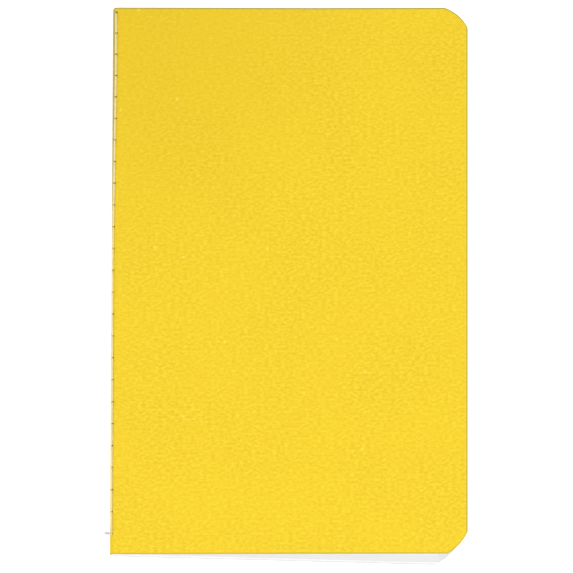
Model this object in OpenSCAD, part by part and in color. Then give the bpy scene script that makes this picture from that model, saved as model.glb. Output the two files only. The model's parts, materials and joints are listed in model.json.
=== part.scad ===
// Pocket notebook with a card cover, sewn through its fold with one row of thread.
// It lies on its back cover with the front cover sprung a little open.
// X runs from the spine to the fore-edge, Y from the tail to the head, Z up.
// The origin is the centre of the back cover's outer face. Millimetres.

/* [Notebook] */
// Width from the outside of the spine to the fore-edge
book_w = 90; // [70:1:150]
// Height from tail to head
book_h = 140; // [100:1:220]
// Thickness of the cover card
card_t = 0.35; // [0.25:0.05:0.6]
// Angle at which the front cover stands open at rest
open_angle = 12.3; // [4:0.1:40]

/* [Pages] */
// Folded sheets, each of which makes two leaves
sheets = 20; // [10:1:30]
// Thickness of one leaf
leaf_t = 0.085; // [0.06:0.005:0.12]
// Air between two leaves where they leave the fold
leaf_air = 0.02; // [0.015:0.005:0.04]
// Angle by which the leaves fan out, from the bottom leaf to the top one
fan_angle = 0.6; // [0:0.1:1.5]
// Distance from the centre fold to where the leaves part
gutter = 1.2; // [0.9:0.1:4]
// Gap between the leaves and the card round them
page_fit = 0.04; // [0.02:0.01:0.1]

/* [Spine] */
// Depth of the rounded spine
nose_d = 2; // [1.2:0.1:3]
// Gap between a cover and the spine along the fold line
fold_gap = 0.05; // [0.03:0.01:0.1]

/* [Rounded corners] */
// Length that the head corner takes from the head edge
head_cut_w = 5.9; // [4:0.1:9]
// Length that the head corner takes from the fore-edge
head_cut_h = 5.2; // [4:0.1:9]
// Radius of the head corner's arc
head_cut_r = 10.3; // [9:0.1:20]
// Length that the tail corner takes from the tail edge
tail_cut_w = 5.0; // [4:0.1:9]
// Length that the tail corner takes from the fore-edge
tail_cut_h = 5.6; // [4:0.1:9]
// Radius of the tail corner's arc
tail_cut_r = 12.5; // [9:0.1:20]

/* [Stitching] */
// Stitches in the row
stitches = 24; // [12:1:30]
// Diameter of the thread
thread_d = 0.5; // [0.3:0.05:0.6]
// Gap between the thread and what it lies on
thread_gap = 0.04; // [0.02:0.01:0.08]
// Half the gap between the two strands in a needle's hole
strand_gap = 0.06; // [0.04:0.01:0.1]
// Distance from the head edge to the first hole
head_margin = 0.95; // [0.9:0.05:6]
// Distance from the tail edge to the last hole
tail_margin = 5.3; // [1:0.1:10]
// Angle of the row round the spine from its middle, towards the front cover, at the head
row_head_angle = 43; // [0:1:55]
// The same angle at the tail
row_tail_angle = 27; // [0:1:55]
// Middle of the stretch where the row wanders from one angle to the other, from the tail edge
wander_y = 75; // [40:1:110]
// Length of that stretch
wander_l = 52; // [20:1:80]
// Length of the cut thread end that stands out of the last hole
loose_end = 1.8; // [0.5:0.1:3]

/* [Hidden] */

card_colour = [0.96, 0.83, 0.20];
paper_colour = [0.97, 0.97, 0.95];
thread_colour = [0.93, 0.90, 0.80];

// Overshoot of every cut, the sides of a round, and the sides of a thread
over = 1;
round_sides = 96;
thread_sides = 6;
nose_steps = 20;

leaves = 2*sheets;
leaf_pitch = leaf_t + leaf_air;
pages_t = leaves*leaf_t + (leaves - 1)*leaf_air;
book_t = pages_t + 2*page_fit + 2*card_t;
mid_z = book_t/2;

spine_x = -book_w/2;
fore_x = book_w/2;
fold_x = spine_x + nose_d;
pages_x = spine_x + card_t + page_fit;
pages_z = card_t + page_fit;
centre_x = pages_x + sheets*leaf_pitch;
gutter_x = centre_x + gutter;

thread_r = thread_d/2;
thread_rise = thread_r + thread_gap;
strand_y = thread_r + strand_gap;
hole_r = strand_y + thread_rise;
channel_r = thread_r + 2*thread_gap;
stitch_l = (book_h - head_margin - tail_margin)/stitches;

// A point of the rounded spine, a quarter turn either way of its tip, for a section of the given half-axes
function nose_point(a, depth, half_t) = [fold_x - depth*cos(a), mid_z + half_t*sin(a)];
function nose_curve(depth, half_t) =
    [for (i = [0:nose_steps]) nose_point(-90 + 180*i/nose_steps, depth, half_t)];

// Where the row of stitches leaves the spine at a given y, and the way out of the card there
function ease(t) = let (u = min(max(t, 0), 1)) u*u*(3 - 2*u);
function row_angle(y) =
    row_tail_angle + (row_head_angle - row_tail_angle)*ease((y + book_h/2 - wander_y)/wander_l + 1/2);
function row_point(y) =
    let (p = nose_point(row_angle(y), nose_d, mid_z)) [p[0], y, p[1]];
function unit(v) = v/norm(v);
function row_normal(y) =
    let (a = row_angle(y)) unit([-cos(a)/nose_d, 0, sin(a)/mid_z]);
function centre_point(y) = [centre_x, y, mid_z];
function hole_way(y) = unit(row_point(y) - centre_point(y));
function hole_y(i) = book_h/2 - head_margin - i*stitch_l;
// Straight depth of a strand in its hole, so that both threads meet half way down
function strand_depth(y) =
    (norm(row_point(y) - centre_point(y)) - thread_gap)/2 - strand_y - thread_r;

// The centre of the arc that cuts a corner, from the corner itself: it passes through
// the two points where the arc meets the edges
function arc_centre(cut_w, cut_h, r) =
    let (chord = norm([cut_w, cut_h]), reach = sqrt(r*r - chord*chord/4)/chord)
    [-cut_w/2 - cut_h*reach, -cut_h/2 - cut_w*reach];

// The waste at one corner, drawn for the corner at the top right
module corner_waste(cut_w, cut_h, r) {
    difference() {
        translate([-cut_w, -cut_h])
            square([cut_w + over, cut_h + over]);
        translate(arc_centre(cut_w, cut_h, r))
            circle(r, $fn = round_sides);
    }
}

// Outline of a cover or a leaf from a given x to the fore-edge, seen from above
module outline(from_x) {
    difference() {
        translate([from_x, -book_h/2])
            square([fore_x - from_x, book_h]);
        translate([fore_x, book_h/2])
            corner_waste(head_cut_w, head_cut_h, head_cut_r);
        translate([fore_x, -book_h/2])
            mirror([0, 1])
                corner_waste(tail_cut_w, tail_cut_h, tail_cut_r);
    }
}

// A section in X and Z, drawn out along the height of the book
module along_spine() {
    translate([0, book_h/2, 0])
        rotate([90, 0, 0])
            linear_extrude(book_h)
                children();
}

// The needle's holes, from outside the spine to the channel in the centre fold
module needle_holes() {
    for (i = [0:stitches]) {
        y = hole_y(i);
        way = hole_way(y);
        translate(centre_point(y) - thread_rise*way)
            rotate([0, atan2(way[0], way[2]), 0])
                cylinder(h = norm(row_point(y) - centre_point(y)) + thread_rise + over, r = hole_r, $fn = 32);
    }
}

module cover_panel() {
    linear_extrude(card_t)
        outline(fold_x + fold_gap);
}

// Front panel of the cover, turned up about the fold line along the top of the spine
module front_cover() {
    color(card_colour)
        translate([fold_x, 0, book_t + fold_gap])
            rotate([0, -open_angle, 0])
                translate([-fold_x, 0, -fold_gap - card_t])
                    cover_panel();
}

// Back panel of the cover, flat on the table
module back_cover() {
    color(card_colour)
        cover_panel();
}

// The strip of the same card that goes round the fold of the pages
module spine_fold() {
    color(card_colour)
        difference() {
            along_spine()
                polygon(concat(
                    nose_curve(nose_d, mid_z),
                    [for (p = nose_curve(nose_d - card_t, mid_z - card_t)) [p[0], book_t - p[1]]]));
            needle_holes();
        }
}

// Height of a leaf's lower face where it leaves the fold, and where its face ends at the fore-edge
function leaf_z(i) = pages_z + i*leaf_pitch;
function leaf_tip(i, z) =
    let (a = fan_angle*i/(leaves - 1), l = fore_x - gutter_x) [gutter_x + l*cos(a), z + l*sin(a)];
function slit_x(i) = i == sheets ? centre_x : gutter_x;

// Section of the nested sheets: round at the fold, with a slit between each two leaves
function page_section() = concat(
    nose_curve(nose_d - card_t - page_fit, mid_z - card_t - page_fit),
    [[gutter_x, pages_z + pages_t]],
    [for (i = [leaves - 1:-1:1]) each [
        leaf_tip(i, leaf_z(i) + leaf_t),
        leaf_tip(i, leaf_z(i)),
        [slit_x(i), leaf_z(i)],
        [slit_x(i), leaf_z(i) - leaf_air]]],
    [leaf_tip(0, leaf_z(0) + leaf_t), leaf_tip(0, leaf_z(0))]);

// All the folded sheets, nested and sewn through the fold
module page_block() {
    color(paper_colour)
        difference() {
            intersection() {
                along_spine()
                    polygon(page_section());
                linear_extrude(2*book_t)
                    outline(spine_x);
            }
            translate([centre_x + thread_rise, book_h/2 + over, mid_z])
                rotate([90, 0, 0])
                    cylinder(h = book_h + 2*over, r = channel_r, $fn = 32);
            needle_holes();
        }
}

// Centre line of a thread round one hole, as [way along the row, height over the surface, depth in the hole].
// It comes over the rim, goes down one side of the hole, turns, and comes up the other side.
function hole_loop(depth) = concat(
    [for (a = [90:-30:0]) [-hole_r + thread_rise*cos(a), thread_rise*sin(a)]],
    [for (a = [180:45:360]) [strand_y*cos(a), -depth + strand_y*sin(a)]],
    [for (a = [180:-30:90]) [hole_r + thread_rise*cos(a), thread_rise*sin(a)]]);

// The same for the last hole, from which the cut end stands straight out
function last_loop(depth, end) = concat(
    [for (a = [90:-30:0]) [-hole_r + thread_rise*cos(a), thread_rise*sin(a)]],
    [for (a = [180:45:360]) [strand_y*cos(a), -depth + strand_y*sin(a)]],
    [[strand_y, 0], [strand_y, end]]);

function first_loop(depth) = [for (p = hole_loop(depth)) if (p[0] > 0) p];

// The whole row, with the distance along it measured from the first hole
function row_path(end) = [for (i = [0:stitches]) each
    let (d = strand_depth(hole_y(i)),
         loop = i == 0 ? first_loop(d) : i == stitches ? last_loop(d, end) : hole_loop(d))
    [for (p = loop) [p[0] + i*stitch_l, p[1]]]];

// A tube along such a path. foot gives the surface point at a y, rise the way out of the surface
// and sink the way out of the hole
module thread_tube(path, foot, rise, sink) {
    n = len(path);
    rings = [for (i = [0:n - 1])
        let (p = path[i],
             t = unit(path[min(i + 1, n - 1)] - path[max(i - 1, 0)]),
             y = hole_y(0) - p[0],
             up = p[1] >= 0 ? rise(y) : sink(y),
             side = cross([0, -1, 0], up),
             across = t[1]*[0, 1, 0] + t[0]*up)
        for (k = [0:thread_sides - 1])
            let (a = 360*k/thread_sides)
            foot(y) + p[1]*up + thread_r*(cos(a)*across + sin(a)*side)];
    s = thread_sides;
    walls = [for (i = [0:n - 2], k = [0:s - 1])
        each [[i*s + k, i*s + (k + 1)%s, (i + 1)*s + k],
              [(i + 1)*s + k, i*s + (k + 1)%s, (i + 1)*s + (k + 1)%s]]];
    start = [[for (k = [s - 1:-1:0]) k]];
    finish = [[for (k = [0:s - 1]) (n - 1)*s + k]];
    polyhedron(points = rings, faces = concat(walls, start, finish));
}

// Needle thread, on the outside of the spine
module spine_thread() {
    color(thread_colour)
        thread_tube(row_path(loose_end),
            function (y) row_point(y), function (y) row_normal(y), function (y) hole_way(y));
}

// Bobbin thread, in the centre fold
module centre_thread() {
    color(thread_colour)
        thread_tube(row_path(thread_rise),
            function (y) centre_point(y), function (y) [1, 0, 0], function (y) -hole_way(y));
}

front_cover();
spine_fold();
back_cover();
page_block();
spine_thread();
centre_thread();
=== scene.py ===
"""Pocket notebook with a sewn card cover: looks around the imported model, in metres."""
import json
import math

import bpy
import numpy as np
from mathutils import Matrix, Vector, noise


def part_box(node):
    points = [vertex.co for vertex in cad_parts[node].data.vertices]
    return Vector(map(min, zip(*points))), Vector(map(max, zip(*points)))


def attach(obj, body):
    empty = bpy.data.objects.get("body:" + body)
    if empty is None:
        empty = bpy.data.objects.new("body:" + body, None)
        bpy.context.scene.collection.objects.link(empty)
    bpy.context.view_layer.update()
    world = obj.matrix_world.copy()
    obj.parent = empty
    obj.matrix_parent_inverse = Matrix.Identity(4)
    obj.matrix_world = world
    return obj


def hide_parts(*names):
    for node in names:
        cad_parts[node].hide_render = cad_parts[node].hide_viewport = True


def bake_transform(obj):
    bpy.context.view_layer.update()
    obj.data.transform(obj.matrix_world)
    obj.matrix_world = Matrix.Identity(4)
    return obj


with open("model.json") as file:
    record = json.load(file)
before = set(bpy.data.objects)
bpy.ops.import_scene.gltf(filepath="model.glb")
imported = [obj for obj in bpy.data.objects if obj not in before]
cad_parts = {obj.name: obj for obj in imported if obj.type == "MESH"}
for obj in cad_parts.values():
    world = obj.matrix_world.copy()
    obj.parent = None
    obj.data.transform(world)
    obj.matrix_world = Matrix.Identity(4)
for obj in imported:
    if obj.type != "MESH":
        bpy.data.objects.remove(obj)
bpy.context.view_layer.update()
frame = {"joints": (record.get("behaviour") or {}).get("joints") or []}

MM = 0.001

# Sizes read from the frame
SPINE_LOW, SPINE_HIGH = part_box("spine_fold")
BACK_LOW, BACK_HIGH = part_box("back_cover")
HINGE = Vector(frame["joints"][0]["pos_m"])
BOOK_T = SPINE_HIGH.z
HALF_T = BOOK_T/2
BOOK_H = BACK_HIGH.y - BACK_LOW.y
CARD_T = BACK_HIGH.z
FOLD_X = HINGE.x
NOSE_D = FOLD_X - SPINE_LOW.x
FORE_X = BACK_HIGH.x

# Sizes that the part's source holds and the frame doesn't name
OPEN_ANGLE = math.radians(12.3)
PAGE_FIT = 0.04*MM
LEAF_T = 0.085*MM
LEAF_AIR = 0.02*MM
SHEETS = 20
FAN_ANGLE = math.radians(0.6)
HEAD_CUT = (5.9*MM, 5.2*MM, 10.3*MM)
TAIL_CUT = (5.0*MM, 5.6*MM, 12.5*MM)
STITCHES = 24
HEAD_MARGIN = 0.95*MM
TAIL_MARGIN = 5.3*MM
THREAD_R = 0.25*MM
THREAD_GAP = 0.04*MM
STRAND_GAP = 0.06*MM

# Sizes that are set here alone
# Squareness of the spine's upper half, where 2 is an ellipse, and the height of its tip as a share
NOSE_SQUARE = 3.5
TIP_SHARE = 0.6
# What the front cover lacks at the fore-edge
FRONT_SHORT = 0.06*MM
# Rise of the head edge towards the spine, where it starts, and the length over which it comes
HEAD_SKEW = 0.32*MM
HEAD_SKEW_FROM = 5*MM
HEAD_SKEW_L = 46*MM
# Tail corner of the pages and of the back cover
LOW_TAIL_CUT = (5.9*MM, 6.7*MM, 12.5*MM)
# Angles of the row of stitches, and the middle and length of the stretch where it wanders between them
ROW_HEAD = math.radians(54)
ROW_TAIL = math.radians(31)
WANDER_Y = 98*MM
WANDER_L = 60*MM
# Length of the cut end, how far the stitches drift along the row, and how high the thread lies
LOOSE_END = 2.1*MM
STITCH_DRIFT = 0.58*MM
DRIFT_POWER = 0.6
THREAD_LIFT = 0.17*MM

# Sizes that follow from those
LEAVES = 2*SHEETS
LEAF_PITCH = LEAF_T + LEAF_AIR
PAGES_T = LEAVES*LEAF_T + (LEAVES - 1)*LEAF_AIR
PAGES_X = SPINE_LOW.x + CARD_T + PAGE_FIT
PAGES_Z = CARD_T + PAGE_FIT
CENTRE_X = PAGES_X + SHEETS*LEAF_PITCH
THREAD_RISE = THREAD_R + THREAD_GAP
STRAND_Y = THREAD_R + STRAND_GAP
STITCH_L = (BOOK_H - HEAD_MARGIN - TAIL_MARGIN)/STITCHES


def ease(t):
    u = min(max(t, 0.0), 1.0)
    return u*u*(3 - 2*u)


def row_angle(y):
    """Angle of the row of stitches round the spine, from its middle."""
    return ROW_TAIL + (ROW_HEAD - ROW_TAIL)*ease((y + BOOK_H/2 - WANDER_Y)/WANDER_L + 0.5)


def nose_turn(a, square):
    """Way back and up at an angle round a fold of size 1.

    Its upper half is squared where square is over 2."""
    power = 2/square if a > 0 else 1.0
    return abs(math.cos(a))**power, math.copysign(abs(math.sin(a))**power, a)


def fold_height(low, high, up):
    """Height at a way up of -1 to 1 round a fold, whose tip is above its middle."""
    tip = low + (high - low)*TIP_SHARE
    return tip + (high - tip if up > 0 else tip - low)*up


def nose(a):
    """Place in x and z on the outside of the card, at an angle round the spine."""
    back, up = nose_turn(a, NOSE_SQUARE)
    return FOLD_X - NOSE_D*back, fold_height(0.0, BOOK_T, up)


def row_point(y):
    x, z = nose(row_angle(y))
    return Vector((x, y, z))


def row_normal(y):
    """Way out of the card where the row of stitches lies."""
    a = row_angle(y)
    power = 2 - 2/NOSE_SQUARE
    back = -math.cos(a)**power/NOSE_D
    up = math.sin(a)**power/(BOOK_T*(1 - TIP_SHARE))
    return Vector((back, 0, up)).normalized()


def centre_point(y):
    return Vector((CENTRE_X, y, HALF_T))


def hole_way(y):
    """Way out of a needle's hole, from the centre fold to the row of stitches."""
    return (row_point(y) - centre_point(y)).normalized()


def hole_y(i):
    """Place of a hole along the row, where the feed of the machine wasn't quite even."""
    drift = STITCH_DRIFT*math.sin(math.pi*(i/STITCHES)**DRIFT_POWER)
    return BOOK_H/2 - HEAD_MARGIN - i*STITCH_L + drift


# Outline of the cover and the leaves

def arc_centre(cut_w, cut_h, r):
    """Centre of a corner's arc, from the corner, for a corner at the top right."""
    chord = math.hypot(cut_w, cut_h)
    reach = math.sqrt(r*r - chord*chord/4)/chord
    return -cut_w/2 - cut_h*reach, -cut_h/2 - cut_w*reach


def edge_inset(inset, cut_w, cut_h, r):
    """How far the head or tail edge lies in from the corner's height, at a distance from the fore-edge."""
    if inset >= cut_w:
        return 0.0
    cx, cy = arc_centre(cut_w, cut_h, r)
    return -(cy + math.sqrt(max(r*r - (-inset - cx)**2, 0)))


def y_range(inset, tail_cut):
    """Places of the tail and head edges, at a distance from the fore-edge."""
    return -BOOK_H/2 + edge_inset(inset, *tail_cut), BOOK_H/2 - edge_inset(inset, *HEAD_CUT)


def head_rise(x):
    """How far the head edge rises towards the spine, where it isn't cut square."""
    return HEAD_SKEW*min(max((HEAD_SKEW_FROM - x)/HEAD_SKEW_L, 0.0), 1.0)


# Sheets of card and paper

# Stands for the distance from the fore-edge where a sheet is round the fold
FAR = 1.0
# Distances of the first points from a sheet's edge, and the steps round its corners and further in
RIM_STEPS = [0.0, 0.08*MM, 0.18*MM, 0.32*MM, 0.55*MM, 0.9*MM]
CORNER_REACH = 7*MM
CORNER_STEP = 0.4*MM
WIDE_STEP = 2.2*MM
# Reach of the painted shade that the yellow card gets along a sheet's cut edge
EDGE_SHADE_REACH = 0.2*MM
# Texture maps are in tenths of a metre
MAP_SCALE = 10
# Places of the materials of a sheet in its list
FACE = 0
INSIDE = 1
EDGE = 2
PIERCED = 3


def rows_across(count):
    """Places across a sheet's height, as (share of the way up, distance in from that edge)."""
    low = [(0.0, d) for d in RIM_STEPS]
    high = [(1.0, -d) for d in reversed(RIM_STEPS)]
    shares = [(i + 1)/(count + 1) for i in range(count)]
    return low + [(share, RIM_STEPS[-1]*(1 - 2*share)) for share in shares] + high


def fore_columns(length):
    """Distances from the fore-edge, close together at the edge and round the corners."""
    out = list(RIM_STEPS)
    while out[-1] < CORNER_REACH:
        out.append(out[-1] + CORNER_STEP)
    for cut in (HEAD_CUT[0], TAIL_CUT[0]):
        nearest = min(range(len(out)), key=lambda i: abs(out[i] - cut))
        out[nearest] = cut
    wide = max(2, round((length - out[-1])/WIDE_STEP))
    step = (length - out[-1])/wide
    return out + [out[-1] + step*(i + 1) for i in range(wide)]


def add_mesh(name, points, faces, materials, face_materials):
    me = bpy.data.meshes.new(name)
    me.from_pydata([tuple(p) for p in points], [], faces)
    for m in materials:
        me.materials.append(m)
    me.polygons.foreach_set("material_index", face_materials)
    me.polygons.foreach_set("use_smooth", [True]*len(faces))
    obj = bpy.data.objects.new(name, me)
    bpy.context.scene.collection.objects.link(obj)
    return obj


def add_sheet_map(obj, where, faces):
    """Keeps the place of each point on the flat sheet, or along the thread, as a texture map."""
    layer = obj.data.uv_layers.new(name="sheet")
    corners = np.array([v for f in faces for v in f])
    layer.data.foreach_set("uv", (where[corners]*MAP_SCALE).astype(np.float32).ravel())


def mark_sharp(obj, angle):
    """Marks as sharp each edge where two faces meet at more than the angle."""
    me = obj.data
    normals = [p.normal.copy() for p in me.polygons]
    first = {}
    sharp = [False]*len(me.edges)
    for p in me.polygons:
        for loop in range(p.loop_start, p.loop_start + p.loop_total):
            e = me.loops[loop].edge_index
            if e in first:
                sharp[e] = normals[first[e]].angle(normals[p.index], 0) > angle
            else:
                first[e] = p.index
    me.attributes.new("sharp_edge", "BOOLEAN", "EDGE").data.foreach_set("value", sharp)


def sheet_ring(n, m):
    """Points once round a sheet's edge, in a grid of n columns with m points each."""
    first_row = [k*m for k in range(n)]
    last_column = [(n - 1)*m + j for j in range(1, m)]
    last_row = [k*m + m - 1 for k in range(n - 2, -1, -1)]
    first_column = list(range(m - 2, 0, -1))
    return first_row + last_column + last_row + first_column


def sheet_grid(columns, rows, rim, shift, tail_cut):
    """Points of a sheet's outer face, their places on the flat sheet and their distances from its edge."""
    outer = []
    uv = []
    near = []
    for p, _, normal, u, inset in columns:
        low, high = y_range(inset, tail_cut)
        low = low + rim
        high = high + head_rise(p[0]) - rim
        for share, off in rows:
            y = low + (high - low)*share + off
            near.append(min(y - low, high - y, inset))
            move = shift(u, y, near[-1])
            outer.append((p[0] + normal[0]*move, y, p[1] + normal[1]*move))
            uv.append((u, y))
    return np.array(outer), np.array(uv), near


def edge_ways(flat, held):
    """Way out of the edge at each point of the ring, on the flat sheet, with none where it is held."""
    along = np.roll(flat, -1, 0) - np.roll(flat, 1, 0)
    out = np.stack([along[:, 1], -along[:, 0]], 1)
    out /= np.linalg.norm(out, axis=1)[:, None]
    out[held] = 0
    return out


def grid_faces(n, m):
    """Faces of the outer and of the inner grid of points, in turn."""
    size = n*m
    faces = []
    for k in range(n - 1):
        for j in range(m - 1):
            a = k*m + j
            b = a + m
            c = b + 1
            d = a + 1
            faces.append((a, b, c, d))
            faces.append((size + a, size + d, size + c, size + b))
    return faces


def ring_faces(upper, lower):
    """Faces between two rings of points."""
    count = len(upper)
    faces = []
    for i in range(count):
        j = (i + 1) % count
        faces.append((upper[i], lower[i], lower[j], upper[j]))
    return faces


def sheet_piece(name, columns, rows, t, rim, materials, shift, tail_cut,
                closed_start=False, closed_end=False):
    """A thin sheet with an outer face, an inner face and a rounded edge.

    columns is a list of (outer point in x and z, tangent, normal out, distance along, distance from
    the fore-edge); shift(u, y, near) is a small move out of the sheet, where near is the distance
    from its edge; rim is the rounding of its edges, which a closed start or end doesn't have."""
    n = len(columns)
    m = len(rows)
    size = n*m
    ring = sheet_ring(n, m)
    r = len(ring)
    outer, uv, near = sheet_grid(columns, rows, rim, shift, tail_cut)
    normals = np.array([(c[2][0], 0, c[2][1]) for c in columns for _ in rows])
    tangents = np.array([(c[1][0], 0, c[1][1]) for c in columns for _ in rows])
    flat = uv[ring]
    held = np.array([(closed_start and g < m) or (closed_end and g >= size - m) for g in ring])
    out = edge_ways(flat, held)
    side = tangents[ring]*out[:, :1]*rim
    side[:, 1] += out[:, 1]*rim
    points = [outer, outer - normals*t]
    where = [uv, uv]
    loops = [ring]
    loop_kinds = [EDGE]
    if rim:
        points.append(outer[ring] + side - normals[ring]*rim)
        points.append(outer[ring] + side - normals[ring]*(t - rim))
        where += [flat + out*rim, flat + out*(t - rim)]
        loops += [list(range(2*size, 2*size + r)), list(range(2*size + r, 2*size + 2*r))]
        loop_kinds = [FACE, EDGE, INSIDE]
    loops.append([size + g for g in ring])
    faces = grid_faces(n, m)
    kinds = [FACE, INSIDE]*((n - 1)*(m - 1))
    for upper, lower, kind in zip(loops, loops[1:], loop_kinds):
        faces += ring_faces(upper, lower)
        kinds += [kind]*r
    obj = add_mesh(name, np.vstack(points), faces, materials, kinds)
    add_sheet_map(obj, np.vstack(where), faces)
    near = np.concatenate([near, near, np.zeros(len(obj.data.vertices) - 2*size)])
    # Nearness to the sheet's edge, which the yellow card darkens as painted shade
    edge_shade = obj.data.attributes.new("rim", "FLOAT", "POINT")
    edge_shade.data.foreach_set("value", np.exp(-near/EDGE_SHADE_REACH).astype(np.float32))
    return obj


def path_columns(points, insets, start):
    """Columns of a sheet along points in x and z, with distances measured from start at the first one."""
    p = np.array(points)
    step = np.gradient(p, axis=0)
    tangent = step/np.linalg.norm(step, axis=1)[:, None]
    normal = np.stack([-tangent[:, 1], tangent[:, 0]], 1)
    along = start + np.concatenate([[0], np.cumsum(np.linalg.norm(np.diff(p, axis=0), axis=1))])
    return [(p[i], tangent[i], normal[i], along[i], insets[i]) for i in range(len(p))]


# Places round the spine where the two halves of the card meet, below the row of stitches, and where
# the front panel leaves it
SEAM_ANGLE = math.radians(-50)
FRONT_ANGLE = math.radians(70)
NOSE_STEP = math.radians(5)
ANGLE_SLACK = 1e-6
# Length over which the front panel straightens, and its steps
FRONT_BEND = 1.6*MM
BEND_STEPS = 9
# Lengths from the fold line to the back panel's last wide step and to its last point
BACK_BEND = 1.0*MM
BACK_END = 0.4*MM


def bend_points(first, last, way, ahead):
    """Points of a smooth curve from first to last, which leaves along way and arrives along ahead."""
    reach = np.linalg.norm(last - first)
    out = []
    for i in range(1, BEND_STEPS):
        s = i/BEND_STEPS
        out.append(tuple((2*s**3 - 3*s**2 + 1)*first + (s**3 - 2*s**2 + s)*reach*way
                         + (3*s**2 - 2*s**3)*last + (s**3 - s**2)*reach*ahead))
    return out


def front_path(rim):
    """Outer face of the card from the seam round the spine and out along the lifted front panel."""
    angles = np.arange(SEAM_ANGLE, FRONT_ANGLE + ANGLE_SLACK, NOSE_STEP)
    spine = [nose(a) for a in angles]
    ahead = np.array((math.cos(OPEN_ANGLE), math.sin(OPEN_ANGLE)))
    up = np.array((-ahead[1], ahead[0]))
    origin = np.array((HINGE.x, HINGE.z)) - up*(HINGE.z - BOOK_T)
    first = np.array(spine[-1])
    way = first - np.array(nose(angles[-1] - math.radians(1)))
    way /= np.linalg.norm(way)
    bend = bend_points(first, origin + ahead*FRONT_BEND, way, ahead)
    length = FORE_X - FRONT_SHORT - FOLD_X - rim
    distances = fore_columns(length - FRONT_BEND)[::-1]
    panel = [tuple(origin + ahead*(length - d)) for d in distances]
    return spine + bend + panel, [FAR]*len(spine + bend) + distances


def back_path(rim):
    """Outer face of the card from the fore-edge of the back panel to the seam."""
    distances = fore_columns(FORE_X - FOLD_X - rim - BACK_BEND)
    panel = [(FORE_X - rim - d, 0.0) for d in distances]
    spine = [nose(a) for a in np.arange(-math.pi/2, SEAM_ANGLE + ANGLE_SLACK, NOSE_STEP)]
    return panel + [(FOLD_X + BACK_END, 0.0)] + spine, distances + [FAR]*(1 + len(spine))


# Depth and size of the dimple at each hole, and of the groove along the row
DIMPLE_DEPTH = 0.05*MM
DIMPLE_SIZE = 0.6*MM
GROOVE_DEPTH = 0.07*MM
GROOVE_SIZE = 0.34*MM
# Depth and reach of the card's pressed edge
PRESS_DEPTH = 0.07*MM
PRESS_REACH = 0.16*MM
# Length and depth of the slow waves of the front cover, and the length over which they start
WAVE_L = 60*MM
WAVE_DEPTH = 0.16*MM
WAVE_PLACE = 3.7
WAVE_START = 12*MM


def bell(d, size):
    """Height of a bell curve of a given size at a distance from its middle."""
    return math.exp(-d**2/(2*size**2))


def pucker(u_row, y, u):
    """How far the card is drawn in where a stitch holds it, at a distance along the sheet."""
    i = round((BOOK_H/2 - HEAD_MARGIN - y)/STITCH_L)
    i = min(max(i, 0), STITCHES)
    across = u - u_row
    dimple = DIMPLE_DEPTH*bell(math.hypot(y - hole_y(i), across), DIMPLE_SIZE)
    inside = ease((y - hole_y(STITCHES))/MM + 0.5)*ease((hole_y(0) - y)/MM + 0.5)
    groove = inside*GROOVE_DEPTH*bell(across, GROOVE_SIZE)
    return -dimple - groove


# Distance along the card at each degree round the spine, from the seam to the top
NOSE_TABLE = [(a, nose(a)) for a in np.radians(np.arange(-50, 91, 1.0))]
NOSE_ALONG = [0.0]
for (_, p), (_, q) in zip(NOSE_TABLE, NOSE_TABLE[1:]):
    NOSE_ALONG.append(NOSE_ALONG[-1] + math.dist(p, q))


def row_along(y):
    """Distance of the row of stitches from the seam, along the card."""
    return float(np.interp(row_angle(y), [t[0] for t in NOSE_TABLE], NOSE_ALONG))


def pressed(near):
    """How far the cutting die presses the card's edge down."""
    return -PRESS_DEPTH*math.exp(-near/PRESS_REACH)


def front_shift(u, y, near):
    """Move of the front cover out of its plane: held at the spine, slowly wavy further out."""
    free = ease((u - NOSE_ALONG[-1])/WAVE_START)
    wave = WAVE_DEPTH*noise.noise(Vector((u/WAVE_L, y/WAVE_L, WAVE_PLACE)))
    return pucker(row_along(y), y, u) + wave*free + pressed(near)


def no_shift(u, y, near):
    return 0.0


# Shader helpers

def new_material(name, roughness=0.6, specular=0.5):
    m = bpy.data.materials.new(name)
    m.use_nodes = True
    shader = m.node_tree.nodes["Principled BSDF"]
    shader.inputs["Roughness"].default_value = roughness
    shader.inputs["Specular IOR Level"].default_value = specular
    return m, m.node_tree, shader


def node(tree, kind, values=None, **settings):
    n = tree.nodes.new(kind)
    for key, value in settings.items():
        setattr(n, key, value)
    for key, value in (values or {}).items():
        n.inputs[key].default_value = value
    return n


def linear(value):
    """A channel of a screen colour, of 0 to 255, as linear light."""
    share = value/255
    return share/12.92 if share <= 0.04045 else ((share + 0.055)/1.055)**2.4


def srgb(r, g, b):
    return linear(r), linear(g), linear(b), 1


def sheet_coordinates(tree, stretch=(1, 1)):
    """The place on the sheet, in tenths of a metre, so that a pattern stays on the paper as it bends."""
    uv = node(tree, "ShaderNodeUVMap", uv_map="sheet")
    mapping = node(tree, "ShaderNodeMapping", {"Scale": (stretch[0], stretch[1], 1)})
    tree.links.new(uv.outputs["UV"], mapping.inputs["Vector"])
    return mapping.outputs["Vector"]


def noise_node(tree, vector, size, detail=2.0, rough=0.5):
    """Noise whose blobs are about the given size, on sheet coordinates."""
    values = {"Scale": 1/(MAP_SCALE*size), "Detail": detail, "Roughness": rough}
    n = node(tree, "ShaderNodeTexNoise", values)
    tree.links.new(vector, n.inputs["Vector"])
    return n.outputs["Fac"]


def ramp(tree, value, low, high, to_low=0.0, to_high=1.0):
    """A value that goes from to_low to to_high while the given one goes from low to high."""
    values = {"From Min": low, "From Max": high, "To Min": to_low, "To Max": to_high}
    n = node(tree, "ShaderNodeMapRange", values)
    tree.links.new(value, n.inputs["Value"])
    return n.outputs["Result"]


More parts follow.
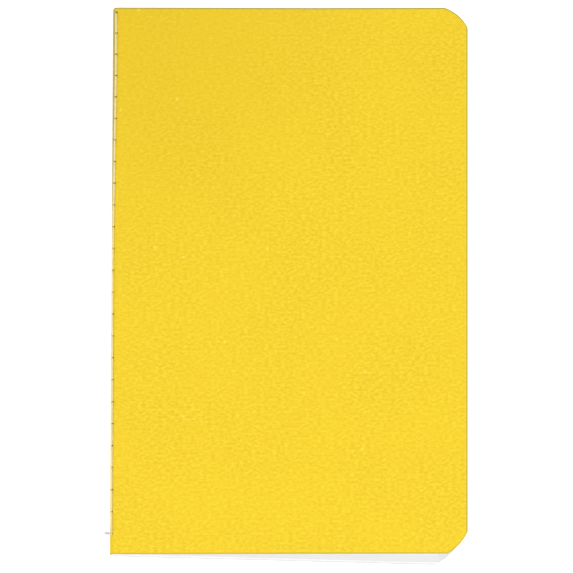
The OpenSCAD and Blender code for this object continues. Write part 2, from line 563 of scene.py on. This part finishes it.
def mix(tree, factor, a, b, blend="MIX"):
    n = node(tree, "ShaderNodeMix", data_type="RGBA", blend_type=blend)
    for value, socket in ((factor, n.inputs["Factor"]), (a, n.inputs["A"]), (b, n.inputs["B"])):
        if isinstance(value, bpy.types.NodeSocket):
            tree.links.new(value, socket)
        else:
            socket.default_value = value
    return n.outputs["Result"]


def math_node(tree, operation, a, b):
    n = node(tree, "ShaderNodeMath", operation=operation)
    for value, socket in ((a, n.inputs[0]), (b, n.inputs[1])):
        if isinstance(value, bpy.types.NodeSocket):
            tree.links.new(value, socket)
        else:
            socket.default_value = value
    return n.outputs["Value"]


def distance_node(tree, vector, place):
    n = node(tree, "ShaderNodeVectorMath", {1: place}, operation="DISTANCE")
    tree.links.new(vector, n.inputs[0])
    return n.outputs["Value"]


def bump(tree, shader, height, distance, strength=1.0):
    n = node(tree, "ShaderNodeBump", {"Strength": strength, "Distance": distance})
    tree.links.new(height, n.inputs["Height"])
    tree.links.new(n.outputs["Normal"], shader.inputs["Normal"])


# Materials

CARD_YELLOW = srgb(247, 211, 42)
# Sizes of the card's mottle, clouds, broad patches and fibres, and the way between two pale flecks
GRAIN = 0.62*MM
CLOUD = 3.5*MM
PATCH = 22*MM
FIBRE = 0.25*MM
FLECK_GAP = 7.5*MM
# Sizes of the grain and clouds of bare card and paper, and of a thread's fibres and uneven stretches
BARE_GRAIN = 0.3*MM
BARE_CLOUD = 6*MM
THREAD_FIBRE = 0.05*MM
THREAD_SLUB = 1.5*MM
# Depths of the relief of the yellow card, and of bare card, paper and thread
CARD_RELIEF = 0.03*MM
BARE_RELIEF = 0.02*MM
# Painted shade on the card next to the row of stitches, on the spine's side and towards the head: its
# distances from the row, and its reach from the middle up
BESIDE_FAR = 0.75*MM
BESIDE_NEAR = 0.3*MM
UPPER_FROM = 5*MM
UPPER_TO = 28*MM
# Where the cut edges of the leaves and of the card are in the shade: heights, and places at the tail
SHADE_Z = (1.5*MM, 2.6*MM)
SHADE_Y = (-69*MM, -65*MM)


def card_face_material():
    """Yellow uncoated card: a fine mottle and a few pale flecks, with painted shade that makes it a little
    darker at the cut edge, towards the head at the spine and next to the row of stitches.
    """
    m, tree, shader = new_material("card_yellow", 0.72, 0.14)
    plain = sheet_coordinates(tree)
    long = sheet_coordinates(tree, (0.6, 1.0))
    grain = noise_node(tree, long, GRAIN, 3.0, 0.55)
    cloud = noise_node(tree, plain, CLOUD, 3.0, 0.55)
    broad = noise_node(tree, plain, PATCH, 1.0, 0.5)
    dark = srgb(229, 190, 26)
    pale = srgb(255, 228, 72)
    tone = mix(tree, ramp(tree, grain, 0.30, 0.70), dark, pale)
    tone = mix(tree, 0.36, tone, CARD_YELLOW)
    tone = mix(tree, ramp(tree, cloud, 0.35, 0.65, 0.0, 0.22), tone, srgb(241, 202, 34))
    tone = mix(tree, ramp(tree, broad, 0.35, 0.65, 0.0, 0.25), tone, srgb(252, 216, 44))
    # Painted shade: the card is darker towards the head at the spine, where less light falls
    from_shaded_corner = distance_node(tree, plain, (0.05, 0.7, 0))
    tone = mix(tree, ramp(tree, from_shaded_corner, 0.0, 0.68, 0.42, 0.0), tone, srgb(228, 191, 36))
    fleck = node(tree, "ShaderNodeTexVoronoi", {"Scale": 1/(MAP_SCALE*FLECK_GAP)}, feature="F1")
    tree.links.new(plain, fleck.inputs["Vector"])
    at_fleck = ramp(tree, fleck.outputs["Distance"], 0.03, 0.07, 0.6, 0.0)
    tone = mix(tree, at_fleck, tone, srgb(255, 236, 104))
    place = node(tree, "ShaderNodeSeparateXYZ")
    tree.links.new(plain, place.inputs["Vector"])
    # Painted shade: greyer card on the spine's side of the row of stitches, towards the head
    row = row_along(BOOK_H/2)
    far = MAP_SCALE*(row - BESIDE_FAR)
    near = MAP_SCALE*(row - BESIDE_NEAR)
    by_row_shade = ramp(tree, place.outputs["X"], far, near, 0.8, 0.0)
    upper = ramp(tree, place.outputs["Y"], MAP_SCALE*UPPER_FROM, MAP_SCALE*UPPER_TO)
    tone = mix(tree, math_node(tree, "MULTIPLY", by_row_shade, upper), tone, srgb(190, 174, 108))
    # Painted shade: a darker yellow along the cut edges
    rim = node(tree, "ShaderNodeAttribute", attribute_name="rim")
    tone = mix(tree, ramp(tree, rim.outputs["Fac"], 0.135, 0.37), tone, srgb(200, 180, 70))
    tree.links.new(tone, shader.inputs["Base Color"])
    fibre = noise_node(tree, sheet_coordinates(tree, (0.35, 1.0)), FIBRE, 4.0, 0.65)
    bump(tree, shader, math_node(tree, "ADD", grain, fibre), CARD_RELIEF, 0.6)
    return m


def card_back_material(name, colour, shade, low=None):
    """The uncoloured side of the card, or a cut edge, with painted shade where one is given: a greyer tone
    low down at the tail, near the table.
    """
    m, tree, shader = new_material(name, 0.8, 0.25)
    plain = sheet_coordinates(tree)
    grain = noise_node(tree, plain, BARE_GRAIN, 3.0, 0.6)
    cloud = noise_node(tree, plain, BARE_CLOUD, 2.0, 0.5)
    tone = mix(tree, ramp(tree, grain, 0.3, 0.7), shade, colour)
    tone = mix(tree, ramp(tree, cloud, 0.35, 0.65, 0.0, 0.3), tone, shade)
    if low:
        place = node(tree, "ShaderNodeTexCoord")
        split = node(tree, "ShaderNodeSeparateXYZ")
        tree.links.new(place.outputs["Object"], split.inputs["Vector"])
        # Painted shade: greyer low down at the tail, near the table
        shade_near_table = ramp(tree, split.outputs["Z"], *SHADE_Z, 1.0, 0.0)
        at_tail = ramp(tree, split.outputs["Y"], *SHADE_Y, 1.0, 0.0)
        tone = mix(tree, math_node(tree, "MULTIPLY", shade_near_table, at_tail), tone, low)
    tree.links.new(tone, shader.inputs["Base Color"])
    bump(tree, shader, grain, BARE_RELIEF, 0.5)
    return m


def thread_material(name, dark, pale, tint):
    """Matt cotton thread, with fibres along its plies."""
    m, tree, shader = new_material(name, 0.85, 0.2)
    plain = sheet_coordinates(tree, (1.0, 0.12))
    fibre = noise_node(tree, plain, THREAD_FIBRE, 3.0, 0.6)
    slub = noise_node(tree, sheet_coordinates(tree), THREAD_SLUB, 1.0, 0.5)
    tone = mix(tree, ramp(tree, fibre, 0.3, 0.7), dark, pale)
    tone = mix(tree, ramp(tree, slub, 0.4, 0.7, 0.0, 0.5), tone, tint)
    tree.links.new(tone, shader.inputs["Base Color"])
    shader.inputs["Sheen Weight"].default_value = 0.25
    shader.inputs["Sheen Roughness"].default_value = 0.5
    bump(tree, shader, fibre, BARE_RELIEF, 0.7)
    return m


CARD = card_face_material()
CARD_INSIDE = card_back_material("card_inside", srgb(244, 243, 240), srgb(236, 234, 230))
# Painted shade: the walls of the needle's holes are a dark olive, for the shade and the card's yellow light
# in them
CARD_HOLE_SHADE = card_back_material("card_hole_shade", srgb(198, 184, 20), srgb(168, 156, 14))
# Painted shade: the card's cut edge is greyer low down at the tail
CARD_EDGE = card_back_material("card_edge", srgb(251, 246, 226), srgb(240, 233, 208), srgb(206, 205, 202))
# Painted shade: the leaves' faces are a greyer copy of the paper than their cut edges, for the shade under
# the lifted cover
PAPER = card_back_material("paper_face_shade", srgb(227, 226, 228), srgb(221, 220, 222))
# Painted shade: the paper's cut edges are greyer low down at the tail
PAPER_EDGE = card_back_material("paper_edge", srgb(253, 253, 253), srgb(246, 246, 247), srgb(206, 206, 208))
THREAD = thread_material(
    "thread_cotton", srgb(226, 213, 156), srgb(255, 247, 202), srgb(234, 221, 162))
# Painted shade: the cut end is a greyer copy of the cotton
THREAD_END_SHADE = thread_material(
    "thread_cut_end_shade", srgb(204, 202, 212), srgb(234, 232, 240), srgb(214, 212, 222))
# Painted shade: the thread is olive in a hole, for the hole's shade and the card's yellow light
THREAD_HOLE_SHADE = thread_material(
    "thread_in_hole_shade", srgb(158, 158, 14), srgb(184, 182, 28), srgb(168, 168, 20))


# The cover

CARD_RIM = 0.07*MM
# Radius of a needle's hole in the card, which closes on the thread, and its cutter's sides and ends
PIERCED_R = 0.30*MM
CUTTER_SIDES = 20
CUTTER_ENDS = (-0.9*MM, 0.6*MM)
# Rows of points across the front and the back cover, and the angle of an edge that is seen as sharp
FRONT_ROWS = 230
BACK_ROWS = 60
SHARP = math.radians(50)


def cut_needle_holes(cover):
    """Cuts the needle's holes through the card with real cylinders."""
    points = []
    faces = []
    side = Vector((0, 1, 0))
    for i in range(STITCHES + 1):
        y = hole_y(i)
        way = hole_way(y)
        other = way.cross(side)
        low = [len(points) + k for k in range(CUTTER_SIDES)]
        high = [k + CUTTER_SIDES for k in low]
        for end in CUTTER_ENDS:
            for k in range(CUTTER_SIDES):
                a = 2*math.pi*k/CUTTER_SIDES
                points.append(row_point(y) + way*end + (side*math.cos(a) + other*math.sin(a))*PIERCED_R)
        for k in range(CUTTER_SIDES):
            j = (k + 1) % CUTTER_SIDES
            faces.append((low[k], low[j], high[j], high[k]))
        faces.append(tuple(reversed(low)))
        faces.append(tuple(high))
    cutter = add_mesh("needle", points, faces, list(cover.data.materials), [PIERCED]*len(faces))
    mod = cover.modifiers.new("holes", "BOOLEAN")
    mod.object = cutter
    mod.operation = "DIFFERENCE"
    mod.solver = "EXACT"
    apply_modifiers(cover)
    bpy.data.objects.remove(cutter)


def apply_modifiers(obj):
    graph = bpy.context.evaluated_depsgraph_get()
    graph.update()
    done = bpy.data.meshes.new_from_object(
        obj.evaluated_get(graph), preserve_all_data_layers=True, depsgraph=graph)
    old = obj.data
    obj.modifiers.clear()
    obj.data = done
    bpy.data.meshes.remove(old)


def make_front():
    points, insets = front_path(CARD_RIM)
    columns = path_columns(points, insets, 0.0)
    materials = [CARD, CARD_INSIDE, CARD_EDGE, CARD_HOLE_SHADE]
    cover = sheet_piece("cover_front", columns, rows_across(FRONT_ROWS), CARD_T, CARD_RIM,
                        materials, front_shift, TAIL_CUT, closed_start=True)
    cut_needle_holes(cover)
    mark_sharp(cover, SHARP)
    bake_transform(cover)
    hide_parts("front_cover", "spine_fold")


def make_back():
    points, insets = back_path(CARD_RIM)
    total = sum(math.dist(p, q) for p, q in zip(points, points[1:]))
    columns = path_columns(points, insets, -total)
    materials = [CARD, CARD_INSIDE, CARD_EDGE]
    cover = sheet_piece("cover_back", columns, rows_across(BACK_ROWS), CARD_T, CARD_RIM,
                        materials, no_shift, LOW_TAIL_CUT, closed_end=True)
    mark_sharp(cover, SHARP)
    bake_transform(cover)
    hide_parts("back_cover")


# The pages

# Rows of points across a leaf, points round its fold, and the way between the maps of two sheets
PAGE_ROWS = 14
FOLD_POINTS = 17
MAP_GAP = 0.2
# Share of the air between two leaves that the render's leaves fill
LEAF_FILL = 0.6
# How much more depth each sheet's fold has, and how far a sheet is out of line at the fore-edge, in its
# angle and along the spine
FOLD_STEP = 0.02*MM
EDGE_JOG = 0.05*MM
LEAF_SWAY = math.radians(0.05)
SHEET_JOG = 0.03*MM


def folded_sheet(k):
    """One folded sheet, from the fore-edge of its lower leaf round the fold to that of its upper leaf."""
    low_z = PAGES_Z + k*LEAF_PITCH
    high_z = PAGES_Z + PAGES_T - k*LEAF_PITCH
    depth = min((high_z - low_z)/2, NOSE_D - CARD_T - PAGE_FIT + FOLD_STEP*k)
    bend_x = PAGES_X + k*LEAF_PITCH + depth
    reach = FORE_X - bend_x + EDGE_JOG*noise.noise(Vector((k*1.7, 0.3, 5.1)))
    distances = fore_columns(reach)[:-1]

    def leaf(angle, z):
        return [(bend_x + (reach - d)*math.cos(angle), z + (reach - d)*math.sin(angle)) for d in distances]

    top = LEAVES - 1 - k
    sway = LEAF_SWAY*noise.noise(Vector((top*0.9, 7.7, 1.3)))
    lower = leaf(FAN_ANGLE*k/(LEAVES - 1), low_z)
    upper = leaf(FAN_ANGLE*top/(LEAVES - 1) + sway, high_z)
    square = NOSE_SQUARE - (NOSE_SQUARE - 2)*k/SHEETS
    fold = []
    for a in np.radians(np.linspace(-90, 90, FOLD_POINTS)):
        back, up = nose_turn(a, square)
        fold.append((bend_x - depth*back, fold_height(low_z, high_z, up)))
    insets = distances + [FAR]*FOLD_POINTS + distances[::-1]
    return path_columns(lower + fold + upper[::-1], insets, MAP_GAP*k)


def make_pages():
    rows = [(i/PAGE_ROWS, 0.0) for i in range(PAGE_ROWS + 1)]
    thickness = LEAF_T + LEAF_FILL*LEAF_AIR
    sheets = []
    for k in range(SHEETS):
        sheet = sheet_piece("leaf", folded_sheet(k), rows, thickness, 0.0,
                            [PAPER, PAPER, PAPER_EDGE], no_shift, LOW_TAIL_CUT)
        jog = SHEET_JOG*noise.noise(Vector((k*2.3, 9.1, 0.4)))
        sheet.data.transform(Matrix.Translation((0, jog, 0)))
        sheets.append(sheet)
    return join(sheets, "pages")


def join(objects, name):
    bpy.ops.object.select_all(action="DESELECT")
    for o in objects:
        o.select_set(True)
    bpy.context.view_layer.objects.active = objects[0]
    bpy.ops.object.join()
    objects[0].name = name
    objects[0].data.name = name
    objects[0].select_set(False)
    return objects[0]


# The threads

# Distance from a hole where a thread leaves the surface, the depth at which it has turned straight, and
# its place in the hole
DIP_Y = 0.62*MM
DIP_Z = 0.12*MM
STRAND_IN = 0.16*MM
# Share of its thickness that the thread keeps in the hole, and the height over which it gets it back
SQUEEZE = 0.6
SQUEEZE_L = 0.32*MM
# Height under which a thread starts to turn into the hole, and the height over which it does
SINK_FROM = 0.1*MM
SINK_L = 0.6*MM
# Height under which a thread is in the shade of the hole
DIP_SHADE = 0.04*MM
# Step along a thread, its plies, the radius of each and its distance from the middle
THREAD_STEP = 0.14*MM
PLIES = 3
PLY_SIDES = 8
PLY_R = 0.145*MM
PLY_OFF = 0.130*MM
# How uneven the plies are, over which length, and the length of one twist
PLY_UNEVEN = 0.06
PLY_SLUB = 0.8*MM
TWIST = 1.25*MM
# Way between the maps of two plies
PLY_MAP_GAP = 0.01
# Length of the cut end that is painted greyer as shade, where it starts to spread, the length over which it
# does, and how far its plies then come apart as a share of their distance from the middle
SHADED_END = 1.5*MM
SPLAY_FROM = 1.9*MM
SPLAY_L = 0.9*MM
SPLAY = 1.2
# Places of a thread's materials in its list
COTTON = 0
CUT_END_SHADE = 1
IN_HOLE_SHADE = 2


def hole_loop(depth, first=False, last=False):
    """Line of a thread round one hole, as (way along the row, height over the surface)."""
    dip = [(-DIP_Y + (DIP_Y - STRAND_IN)*math.sin(a), -DIP_Z + (THREAD_LIFT + DIP_Z)*math.cos(a))
           for a in np.radians(np.arange(0, 91, 10))]
    turn = [(STRAND_IN*math.cos(a), -depth + STRAND_IN*math.sin(a))
            for a in np.radians(np.arange(180, 361, 22.5))]
    rise = [(-y, z) for y, z in reversed(dip)]
    if first:
        return [p for p in turn if p[0] > 0] + rise
    if last:
        return dip + turn
    return dip + turn + rise


def row_line(end):
    """The whole row as points in (way along, height), with its last point at the height of end."""
    line = []
    for i in range(STITCHES + 1):
        y = hole_y(i)
        depth = ((row_point(y) - centre_point(y)).length - THREAD_GAP)/2 - STRAND_Y - THREAD_R
        loop = hole_loop(depth, i == 0, i == STITCHES)
        line += [(p[0] + hole_y(0) - y, p[1]) for p in loop]
    last = STITCHES*STITCH_L + STRAND_IN
    return np.array(line + [(last, 0.0), (last, end)])


def resample(line, step):
    """A line with even steps, and the distance along it of each point."""
    lengths = np.concatenate([[0], np.cumsum(np.linalg.norm(np.diff(line, axis=0), axis=1))])
    count = int(lengths[-1]/step)
    at = np.linspace(0, lengths[-1], count + 1)
    return np.stack([np.interp(at, lengths, line[:, i]) for i in range(line.shape[1])], 1), at


def thread_kind(left, height, splay):
    """Material of a thread at a distance from its cut end and a height: the cut end and the thread in a
    hole get painted shade.
    """
    if splay and left < SHADED_END:
        return CUT_END_SHADE
    return IN_HOLE_SHADE if height < DIP_SHADE else COTTON


def make_thread(name, foot, rise, sink, end, splay):
    """Three twisted plies along the row; splay opens the cut end, which is painted greyer as shade.

    At a place y, foot gives the surface, rise the way out of it and sink the way out of the hole."""
    line, at = resample(row_line(end), THREAD_STEP)
    n = len(line)
    step = np.gradient(line, axis=0)
    step /= np.linalg.norm(step, axis=1)[:, None]
    points = []
    faces = []
    where = []
    kinds = []
    for ply in range(PLIES):
        first = len(points)
        for i in range(n):
            y = hole_y(0) - line[i, 0]
            height = line[i, 1]
            down = ease((SINK_FROM - height)/SINK_L)
            up = (rise(y)*(1 - down) + sink(y)*down).normalized()
            squeeze = SQUEEZE + (1 - SQUEEZE)*ease((height + DIP_Z)/SQUEEZE_L)
            side = Vector((0, -1, 0)).cross(up)
            across = Vector((0, 1, 0))*step[i, 1] + up*step[i, 0]
            open_out = 1 + splay*ease((SPLAY_FROM - (at[-1] - at[i]))/SPLAY_L)
            turn = 2*math.pi*(ply/PLIES + at[i]/TWIST)
            way = across*math.cos(turn) + side*math.sin(turn)
            centre = foot(y) + up*height + way*PLY_OFF*open_out*squeeze
            uneven = noise.noise(Vector((at[i]/PLY_SLUB, ply*3.1, 2.0)))
            thin = squeeze*PLY_R*(1 + PLY_UNEVEN*uneven)
            for k in range(PLY_SIDES):
                b = 2*math.pi*k/PLY_SIDES
                points.append(centre + (across*math.cos(b) + side*math.sin(b))*thin)
                where.append((k/PLY_SIDES*2*math.pi*PLY_R + ply*PLY_MAP_GAP, at[i]))
        for i in range(n - 1):
            low = first + i*PLY_SIDES
            high = low + PLY_SIDES
            for k in range(PLY_SIDES):
                j = (k + 1) % PLY_SIDES
                faces.append((low + k, low + j, high + j, high + k))
            kinds += [thread_kind(at[-1] - at[i], line[i, 1], splay)]*PLY_SIDES
        faces.append(tuple(first + k for k in reversed(range(PLY_SIDES))))
        faces.append(tuple(first + (n - 1)*PLY_SIDES + k for k in range(PLY_SIDES)))
        kinds += [COTTON, CUT_END_SHADE if splay else COTTON]
    obj = add_mesh(name, points, faces, [THREAD, THREAD_END_SHADE, THREAD_HOLE_SHADE], kinds)
    add_sheet_map(obj, np.array(where), faces)
    return obj


def centre_rise(y):
    """Way out of the centre fold, between the leaves."""
    return Vector((1, 0, 0))


def centre_sink(y):
    """Way out of a hole at the centre fold."""
    return -hole_way(y)


# The studio

# The camera's lean towards the spine and the tail, its turn, and its distance
CAMERA_SIDE = math.radians(10.19)
CAMERA_TILT = math.radians(9.05)
CAMERA_ROLL = math.radians(0.170)
CAMERA_FAR = 2.43
# Its focal length and the place of the origin in the picture, in pixels of a picture of the given side
FOCAL_PX = 9539.7
FRAME_PX = 573
ORIGIN_PX = (284.27, 288.49)
SENSOR = 36.0
# The floor: half its side, how far it lies under the notebook, its grey, and its glow in the picture
FLOOR_HALF = 3.0
FLOOR_DROP = 0.02*MM
FLOOR_GREY = 0.86
FLOOR_GLOW = 0.72
# Strength of the world as a light, and as it is seen
WORLD_LIT = 0.55
WORLD_SEEN = 1.0


def make_camera():
    """A long lens over the notebook, leaning towards the spine and the tail."""
    back = Vector((-math.sin(CAMERA_SIDE)*math.cos(CAMERA_TILT), -math.sin(CAMERA_TILT),
                   math.cos(CAMERA_SIDE)*math.cos(CAMERA_TILT)))
    right = (-back).cross(Vector((0, 1, 0))).normalized()
    up = right.cross(-back)
    right, up = (right*math.cos(CAMERA_ROLL) + up*math.sin(CAMERA_ROLL),
                 up*math.cos(CAMERA_ROLL) - right*math.sin(CAMERA_ROLL))
    metre_px = FOCAL_PX/CAMERA_FAR
    aim = (right*(FRAME_PX/2 - ORIGIN_PX[0]) + up*(ORIGIN_PX[1] - FRAME_PX/2))/metre_px
    data = bpy.data.cameras.new("camera")
    data.sensor_width = SENSOR
    data.lens = FOCAL_PX/FRAME_PX*SENSOR
    data.clip_start = 0.1
    data.clip_end = 20
    cam = bpy.data.objects.new("camera", data)
    bpy.context.scene.collection.objects.link(cam)
    basis = cam.matrix_world.copy()
    for i in range(3):
        basis[i][0] = right[i]
        basis[i][1] = up[i]
        basis[i][2] = back[i]
    basis.translation = back*CAMERA_FAR + aim
    cam.matrix_world = basis
    bpy.context.scene.camera = cam


def add_light(name, place, size, power):
    """A round lamp that faces the notebook."""
    data = bpy.data.lights.new(name, "AREA")
    data.shape = "DISK"
    data.size = size
    data.energy = power
    lamp = bpy.data.objects.new(name, data)
    bpy.context.scene.collection.objects.link(lamp)
    lamp.location = place
    lamp.rotation_euler = (-Vector(place)).to_track_quat("-Z", "Y").to_euler()


def background_strength(tree, lit, seen):
    """A strength that is seen to the camera and in gloss and glass, and lit elsewhere."""
    path = node(tree, "ShaderNodeLightPath")
    any_seen = math_node(tree, "MAXIMUM", path.outputs["Is Camera Ray"],
                         math_node(tree, "MAXIMUM", path.outputs["Is Glossy Ray"],
                                   path.outputs["Is Transmission Ray"]))
    return ramp(tree, any_seen, 0.0, 1.0, lit, seen)


def make_world(scene):
    world = bpy.data.worlds.new("studio")
    scene.world = world
    world.use_nodes = True
    tree = world.node_tree
    background = tree.nodes["Background"]
    background.inputs["Color"].default_value = (1, 1, 1, 1)
    tree.links.new(background_strength(tree, WORLD_LIT, WORLD_SEEN), background.inputs["Strength"])


def make_floor(scene):
    me = bpy.data.meshes.new("floor")
    corners = [(-1, -1), (1, -1), (1, 1), (-1, 1)]
    me.from_pydata([(x*FLOOR_HALF, y*FLOOR_HALF, 0) for x, y in corners], [], [(0, 1, 2, 3)])
    floor = bpy.data.objects.new("floor", me)
    floor.location = (0, 0, -FLOOR_DROP)
    scene.collection.objects.link(floor)
    m, tree, shader = new_material("floor_white", 0.9, 0.0)
    shader.inputs["Base Color"].default_value = (FLOOR_GREY, FLOOR_GREY, FLOOR_GREY, 1)
    shader.inputs["Emission Color"].default_value = (1, 1, 1, 1)
    tree.links.new(background_strength(tree, 0.0, FLOOR_GLOW), shader.inputs["Emission Strength"])
    me.materials.append(m)


def make_studio():
    scene = bpy.context.scene
    scene.view_settings.view_transform = "Standard"
    make_world(scene)
    make_floor(scene)
    add_light("key", (0.65, -1.05, 1.42), 1.2, 18.4)
    add_light("side", (-0.9, -0.9, 0.3), 0.8, 6.0)
    add_light("fill", (0.5, 0.9, 1.6), 1.2, 1.5)


make_camera()
make_studio()
make_front()
make_back()
pages = make_pages()
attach(pages, "book_block")
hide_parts("page_block")
outside = make_thread("thread_outside", row_point, row_normal, hole_way, LOOSE_END, SPLAY)
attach(outside, "book_block")
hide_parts("spine_thread")
inside = make_thread("thread_inside", centre_point, centre_rise, centre_sink, THREAD_RISE, 0.0)
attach(inside, "book_block")
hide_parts("centre_thread")
